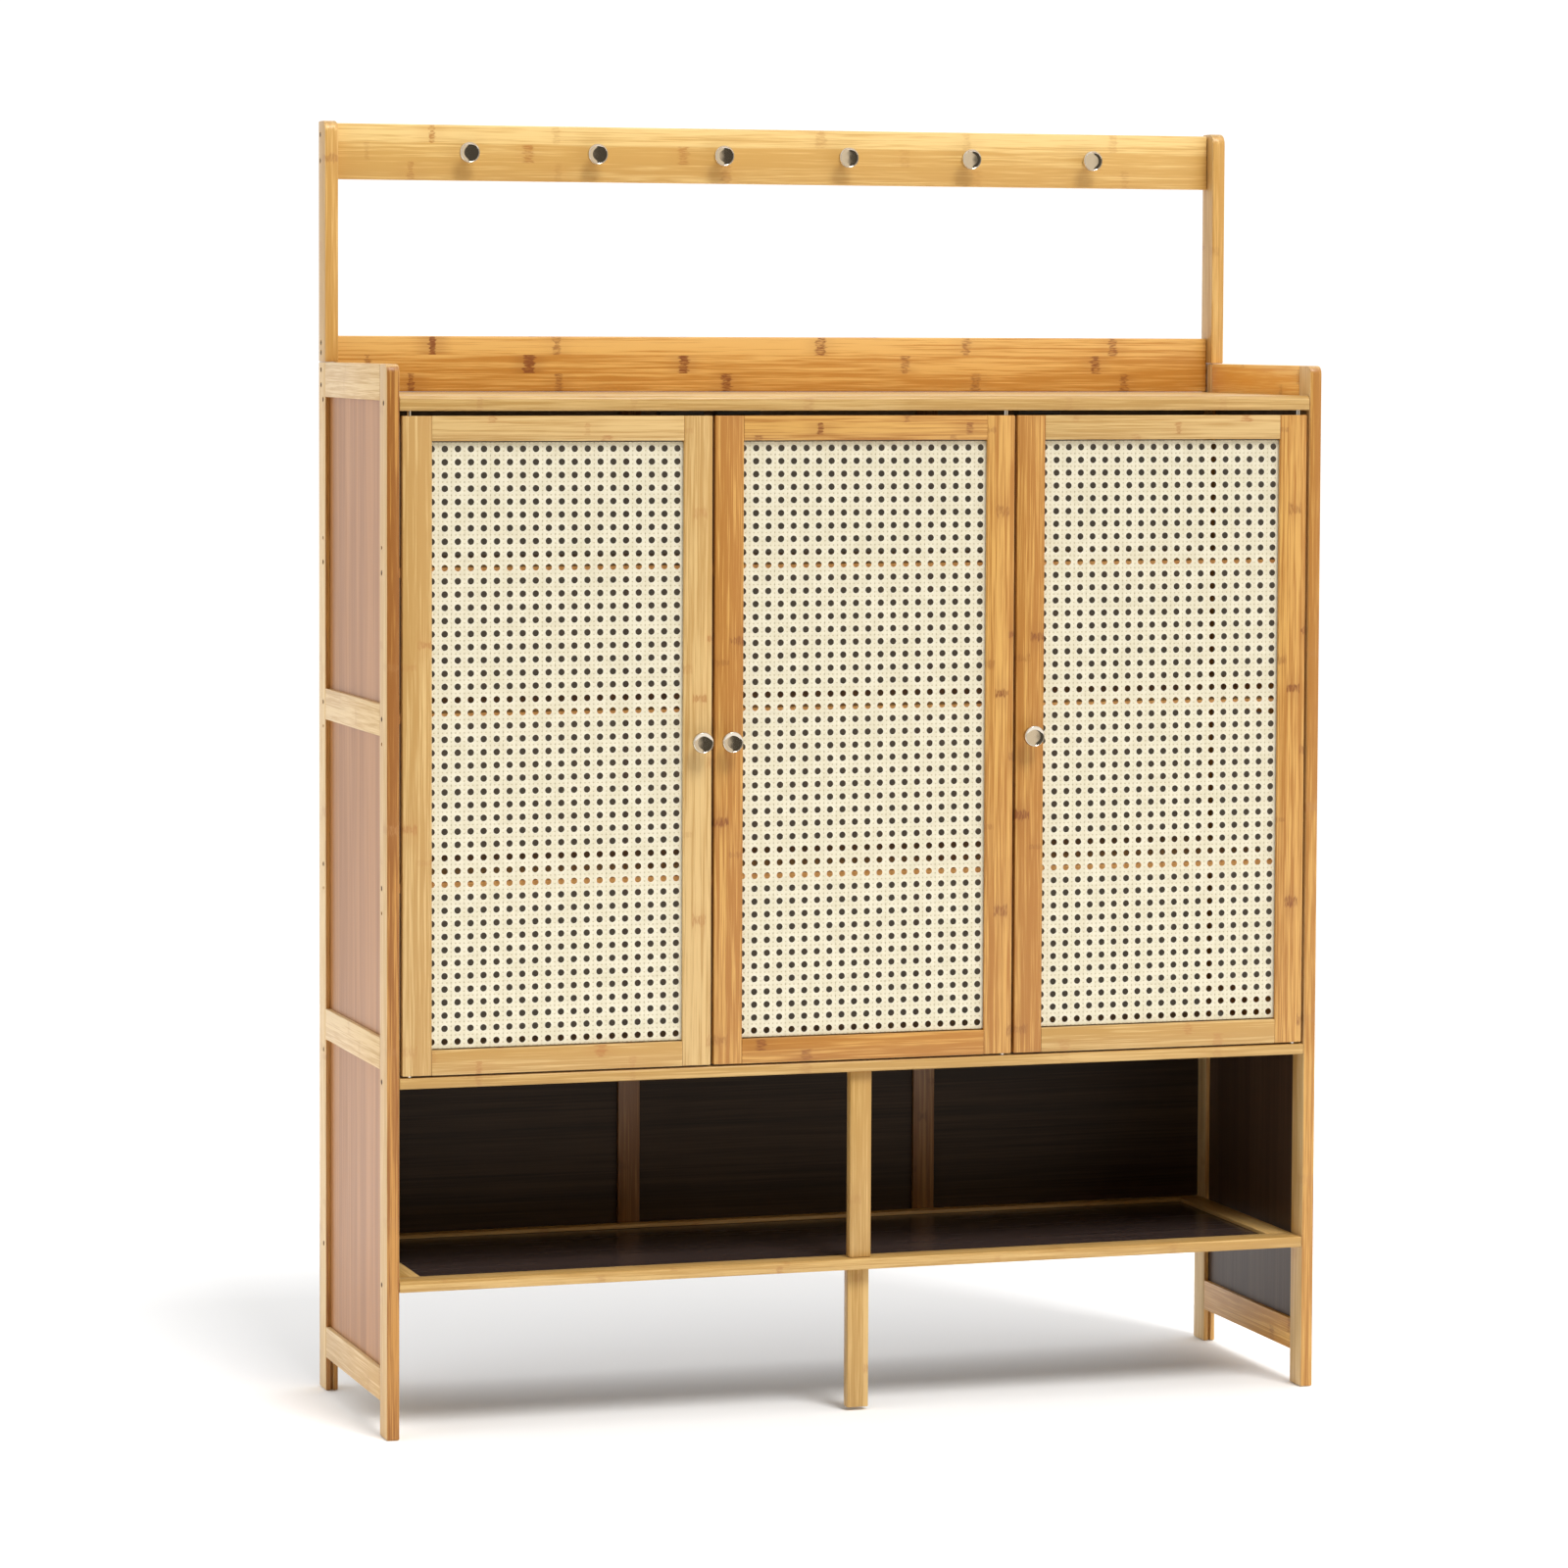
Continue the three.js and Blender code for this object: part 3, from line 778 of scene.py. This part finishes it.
def makeShelves():
    for node, finish, nose, pinLevel, slot in (
        ("top_shelf", "topShelf", shelf["topNose"], "upper", "bamboo"),
        ("mid_shelf", "lowShelf", shelf["lowNose"], "lower", "bamboo"),
        ("upper_inner_shelf", "innerShelf", shelf["lowNose"], None, "amber_bamboo"),
        ("centre_inner_shelf", "innerShelf", shelf["lowNose"], None, "amber_bamboo"),
        ("lower_inner_shelf", "innerShelf", shelf["lowNose"], None, "amber_bamboo"),
    ):
        low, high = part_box(node)
        piece = startBlock(low, high)
        roundCorner(piece, nose, y=low.y, z=high.z)
        roundCorner(piece, shelf["lowNose"], 3, y=low.y, z=low.z)
        softenEdges(piece, shelf["edge"])
        if pinLevel:
            carve(piece, [pinHole(doorName, pinLevel) for doorName in doorHinges])
        finishPiece(piece, camel(node), finish, "carcass", [node])


def makeBottomShelf():
    low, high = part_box("bottom_shelf_frame")
    front, rear = low.y + shelf["frontRail"], high.y - shelf["rearRail"]
    left, right = low.x + shelf["frontRail"], high.x - shelf["frontRail"]
    members = {  # from and to along X and Y
        "bottomShelfFront": (low.x, high.x, low.y, front, "lowShelf"),
        "bottomShelfRear": (low.x, high.x, rear, high.y, "lowShelf"),
        "bottomShelfLeft": (low.x, left, front, rear, "shelfEnd"),
        "bottomShelfRight": (right, high.x, front, rear, "shelfEnd"),
    }
    for name, (fromX, toX, fromY, toY, finish) in members.items():
        piece = startBlock(Vector((fromX, fromY, low.z)), Vector((toX, toY, high.z)))
        softenEdges(piece, shelf["edge"])
        carve(piece, grooves(piece, "bottom_shelf_panel"))
        nodes = ["bottom_shelf_frame"] if name == "bottomShelfFront" else []
        finishPiece(piece, name, finish, "carcass", nodes)


upright = {"edge": 0.0012, "railEdge": 0.0016}


def makeUprights():
    backPanels = [f"back_panel_{place}" for place in ("left", "middle", "right")]
    for node, finish, edge, slot in (
        ("centre_post", "centreWood", upright["edge"], "bamboo"),
        ("centre_leg", "centreWood", upright["edge"], "bamboo"),
        ("hook_rail", "hookRail", upright["railEdge"], "bamboo"),
        ("back_rail", "backRail", upright["railEdge"], "amber_bamboo"),
        ("back_batten_left", "batten", upright["edge"], "amber_bamboo"),
        ("back_batten_right", "batten", upright["edge"], "amber_bamboo"),
    ):
        piece = startBlock(*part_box(node))
        softenEdges(piece, edge)
        carve(piece, grooves(piece, *backPanels))
        finishPiece(piece, camel(node), finish, "carcass", [node])


makeShelves()
makeBottomShelf()
makeUprights()
print("shelves, posts and rails made")


door = {
    "stile": 0.030,
    "rail": 0.025,
    "stileEdge": 0.0010,
    "railEdge": 0.0005,
}


def makeDoorFrame(name):
    low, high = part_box(f"{name}_frame")
    left, right = low.x + door["stile"], high.x - door["stile"]
    foot, head = low.z + door["rail"], high.z - door["rail"]
    members = {  # from and to along X and Z
        "LeftStile": (low.x, left, low.z, high.z),
        "RightStile": (right, high.x, low.z, high.z),
        "TopRail": (left, right, head, high.z),
        "BottomRail": (left, right, low.z, foot),
    }
    hingedStile = "LeftStile" if doorHinges[name] < 0 else "RightStile"
    for part, (fromX, toX, fromZ, toZ) in members.items():
        kind = "Stile" if "Stile" in part else "Rail"
        piece = startBlock(Vector((fromX, low.y, fromZ)), Vector((toX, high.y, toZ)))
        softenEdges(piece, door[kind.lower() + "Edge"])
        cutters = grooves(piece, f"{name}_cane_panel")
        if part == hingedStile:
            cutters += [pinHole(name, level) for level in ("upper", "lower")]
        carve(piece, cutters)
        nodes = [f"{name}_frame"] if part == "LeftStile" else []
        finishPiece(piece, camel(name) + part, camel(name) + kind, name, nodes)


def makeCaneCell():
    # one cell of the weave: a round hole in a square, with its own map from 0 to 1
    clearSelection()
    hole = {"vertices": cane["holeSides"], "radius": cane["holeRadius"], "fill_type": "NOTHING"}
    bpy.ops.mesh.primitive_circle_add(**hole, rotation=(pi / 2, 0, 0), calc_uvs=False)
    cell = bpy.context.object
    settle(cell)
    bpy.ops.object.mode_set(mode="EDIT")
    bpy.ops.mesh.select_all(action="SELECT")
    bpy.ops.mesh.extrude_region_move()
    bpy.ops.transform.resize(value=(cane["ring"], 1, cane["ring"]), center_override=(0, 0, 0))
    bpy.ops.mesh.extrude_region_move()
    bpy.ops.object.mode_set(mode="OBJECT")
    for vertex in cell.data.vertices:
        if vertex.select:
            x, _, z = vertex.co
            reach = 2 * max(abs(x) / cane["pitchX"], abs(z) / cane["pitchZ"])
            vertex.co = (x / reach, 0, z / reach)
    layer = cell.data.uv_layers.new(name="UVMap")
    for loop in cell.data.loops:
        x, _, z = cell.data.vertices[loop.vertex_index].co
        layer.data[loop.index].uv = (x / cane["pitchX"] + 0.5, z / cane["pitchZ"] + 0.5)
    return cell


def applyTo(piece, modifier):
    pick(piece)
    bpy.ops.object.modifier_apply(modifier=modifier.name)


def repeat(piece, count, step):
    row = piece.modifiers.new("row", "ARRAY")
    row.count = count
    row.use_relative_offset = False
    row.use_constant_offset = True
    row.constant_offset_displace = step
    row.use_merge_vertices = True
    row.merge_threshold = cane["weldWithin"]
    applyTo(piece, row)


def makeCane(cell, name):
    node = f"{name}_cane_panel"
    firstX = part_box(f"{name}_frame")[0].x + door["stile"] + cane["firstColumn"]
    firstZ = middleOf(node, "z") - (cane["rows"] - 1) / 2 * cane["pitchZ"]
    sheet = copyTo(cell, (firstX, middleOf(node, "y"), firstZ))
    repeat(sheet, cane["columns"], (cane["pitchX"], 0, 0))
    repeat(sheet, cane["rows"], (0, 0, cane["pitchZ"]))
    wall = sheet.modifiers.new("wall", "SOLIDIFY")
    wall.thickness = cane["thickness"]
    wall.offset = 0
    applyTo(sheet, wall)
    finishPiece(sheet, camel(name) + "Cane", "cane", name, [node])


knob = {
    "sides": 40,
    "smooth": 50,
    "profile": (  # radius and reach
        (0.0060, 0.0), (0.0060, 0.0012), (0.0045, 0.0022), (0.0038, 0.0045), (0.0038, 0.0075),
        (0.0050, 0.0102), (0.0088, 0.0121), (0.0102, 0.0128), (0.01075, 0.0138), (0.01075, 0.0165),
        (0.0106, 0.0173), (0.0103, 0.0178), (0.0100, 0.0180), (0.0097, 0.0179), (0.0095, 0.0176),
        (0.0093, 0.0175), (0.0060, 0.01742), (0.0026, 0.01738), (0.0004, 0.01735),
    ),
}


def makeKnob():
    # turned from a disc: foot, neck, flared back, bevelled rim and a dished face
    clearSelection()
    disc = {"vertices": knob["sides"], "radius": knob["profile"][0][0], "fill_type": "NGON"}
    bpy.ops.mesh.primitive_circle_add(**disc, rotation=(pi / 2, 0, 0))
    piece = bpy.context.object
    settle(piece)
    bpy.ops.object.mode_set(mode="EDIT")
    bpy.ops.mesh.select_all(action="SELECT")
    for (radius, reach), (nextRadius, nextReach) in zip(knob["profile"], knob["profile"][1:]):
        bpy.ops.mesh.extrude_region_move(TRANSFORM_OT_translate={"value": (0, reach - nextReach, 0)})
        grow = nextRadius / radius
        bpy.ops.transform.resize(value=(grow, 1, grow), center_override=(0, -nextReach, 0))
    bpy.ops.mesh.select_all(action="SELECT")
    bpy.ops.mesh.normals_make_consistent(inside=False)
    bpy.ops.object.mode_set(mode="OBJECT")
    return piece


def makeKnobs():
    first = makeKnob()
    spots = [(f"hook_knob_{number}", "carcass") for number in range(1, 7)]
    spots += [(f"{name}_knob", name) for name in doorHinges]
    for node, body in spots:
        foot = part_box(node)[1].y
        copy = copyTo(first, (middleOf(node, "x"), foot, middleOf(node, "z")))
        finishPiece(copy, camel(node), "chrome", body, [node], smooth=knob["smooth"])
    bpy.data.objects.remove(first)


catch = {
    "edge": 0.00048,
    "magnetInset": 0.004,
    "magnetRecess": 0.0016,
    "plate": (0.036, 0.0008, 0.0095),
    "plateEdge": 0.00024,
    "plateDrop": 0.0015,  # below the door's top edge
}


def makeCatch(name):
    piece = startBlock(*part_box(f"{name}_catch"))
    pickFacing(piece, (0, -1, 0))
    bpy.ops.mesh.inset(thickness=catch["magnetInset"], depth=0)
    bpy.ops.mesh.extrude_region_move(TRANSFORM_OT_translate={"value": (0, catch["magnetRecess"], 0)})
    bpy.ops.object.mode_set(mode="OBJECT")
    softenEdges(piece, catch["edge"])
    finishPiece(piece, camel(name) + "Catch", "black", "carcass", [f"{name}_catch"])


def makeStrikePlate(name):
    width, thickness, height = catch["plate"]
    middleX = middleOf(f"{name}_catch", "x")
    _, back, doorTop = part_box(f"{name}_frame")[1]
    top = doorTop - catch["plateDrop"]
    low = Vector((middleX - width / 2, back, top - height))
    plate = startBlock(low, low + Vector(catch["plate"]))
    softenEdges(plate, catch["plateEdge"])
    finishPiece(plate, camel(name) + "StrikePlate", "plate", name)


caneCell = makeCaneCell()
for doorName in doorHinges:
    makeDoorFrame(doorName)
    makeCane(caneCell, doorName)
bpy.data.objects.remove(caneCell)
makeKnobs()
for doorName in doorHinges:
    makeCatch(doorName)
    makeStrikePlate(doorName)
print("doors, knobs and catches made")


def paintNode(node, finish):
    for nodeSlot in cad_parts[node].material_slots:
        nodeSlot.material = finishes[finish]


for sideName in ("left", "right"):
    for level in ("lower", "middle", "upper"):
        paintNode(f"{sideName}_{level}_panel", "sideBoard")
for placeName in ("left", "middle", "right"):
    paintNode(f"back_panel_{placeName}", "backBoard")
paintNode("bottom_shelf_panel", "shelfBoard")
for doorName in doorHinges:
    for level in ("upper", "lower"):
        paintNode(f"{doorName}_{level}_pin", "chrome")
print("boards and pins painted")


studio = {
    "floorColour": (0.96, 0.96, 0.96),
    "floorDarker": 0.985,  # its darkest flecks
    "floorGrain": 3,
    "floorRoughness": 0.9,
    "floorRadius": 3.4,
    "floorSides": 96,
    "floorDrop": 0.0005,  # below the feet
    "roomLight": 0.10,  # the room in front of the cabinet is dark
    "wallLight": 1.0,  # but for a cream wall on its right
    "wallColour": (1.0, 0.88, 0.70),
    "wallFrom": (0.305, 0.335),  # how far to the right, as a sine, that wall begins
    "backdrop": 1.12,  # the white wall behind the cabinet, which comes round its sides
    "backdropFrom": (-0.80, -0.25),  # how far to the front, as a sine, it comes
    "sunTurn": (radians(36), 0, radians(14)),  # from overhead towards the front, then to the right
    "sunPower": 2.15,
    "sunSoftness": radians(22),
}


def makeFloor():
    clearSelection()
    disc = {"vertices": studio["floorSides"], "radius": studio["floorRadius"], "fill_type": "NGON"}
    bpy.ops.mesh.primitive_circle_add(**disc, location=(0, 0, -studio["floorDrop"]))
    floor = bpy.context.object
    settle(floor)
    floor.name = "floor"
    recipe = newRecipe("studioFloor")
    grain = recipe.noise(recipe.place(), (studio["floorGrain"],) * 3)
    colour = studio["floorColour"]
    tone = recipe.blend(grain, colour, [part * studio["floorDarker"] for part in colour])
    floor.data.materials.append(recipe.shade(tone, studio["floorRoughness"]))


def makeSky():
    sky = Recipe(bpy.data.worlds.new("studio"))
    look = sky.axes(sky.node("ShaderNodeTexCoord", output="Generated"))
    wall = sky.fade(look["x"], *studio["wallFrom"])
    backdrop = sky.fade(look["y"], *studio["backdropFrom"])
    room = wall * (studio["wallLight"] - studio["roomLight"]) + studio["roomLight"]
    glow = room + backdrop * (studio["backdrop"] - room)
    seen = sky.node("ShaderNodeLightPath", output="Is Camera Ray")
    tint = sky.blend(backdrop.maths("MAXIMUM", seen), studio["wallColour"], (1, 1, 1))
    light = sky.node("ShaderNodeBackground", {}, {"Color": tint, "Strength": glow.maths("MAXIMUM", seen)})
    sky.node("ShaderNodeOutputWorld", {}, {"Surface": light}, output=None)
    bpy.context.scene.world = sky.owner


def makeSun():
    bpy.ops.object.light_add(type="SUN", rotation=studio["sunTurn"])
    sun = bpy.context.object
    sun.name = "softKey"
    sun.data.energy = studio["sunPower"]
    sun.data.angle = studio["sunSoftness"]


camera = {
    "place": (-1.770, -5.3936, 1.1139),
    "yaw": 0.310,
    "pitch": 0.059,
    "roll": 0.0042,
    "lens": 125.31,
    "sensor": 36,
    "shiftY": -0.0875,
}


def makeCamera():
    bpy.ops.object.camera_add(location=camera["place"])
    eye = bpy.context.object
    aim = Euler((pi / 2 - camera["pitch"], 0, -camera["yaw"])).to_matrix()
    eye.rotation_euler = (aim @ Matrix.Rotation(camera["roll"], 3, "Z")).to_euler()
    eye.data.lens = camera["lens"]
    eye.data.sensor_width = camera["sensor"]
    eye.data.shift_y = camera["shiftY"]
    bpy.context.scene.camera = eye


makeFloor()
makeSky()
makeSun()
makeCamera()
bpy.context.scene.view_settings.view_transform = "Standard"
print("studio and camera set")
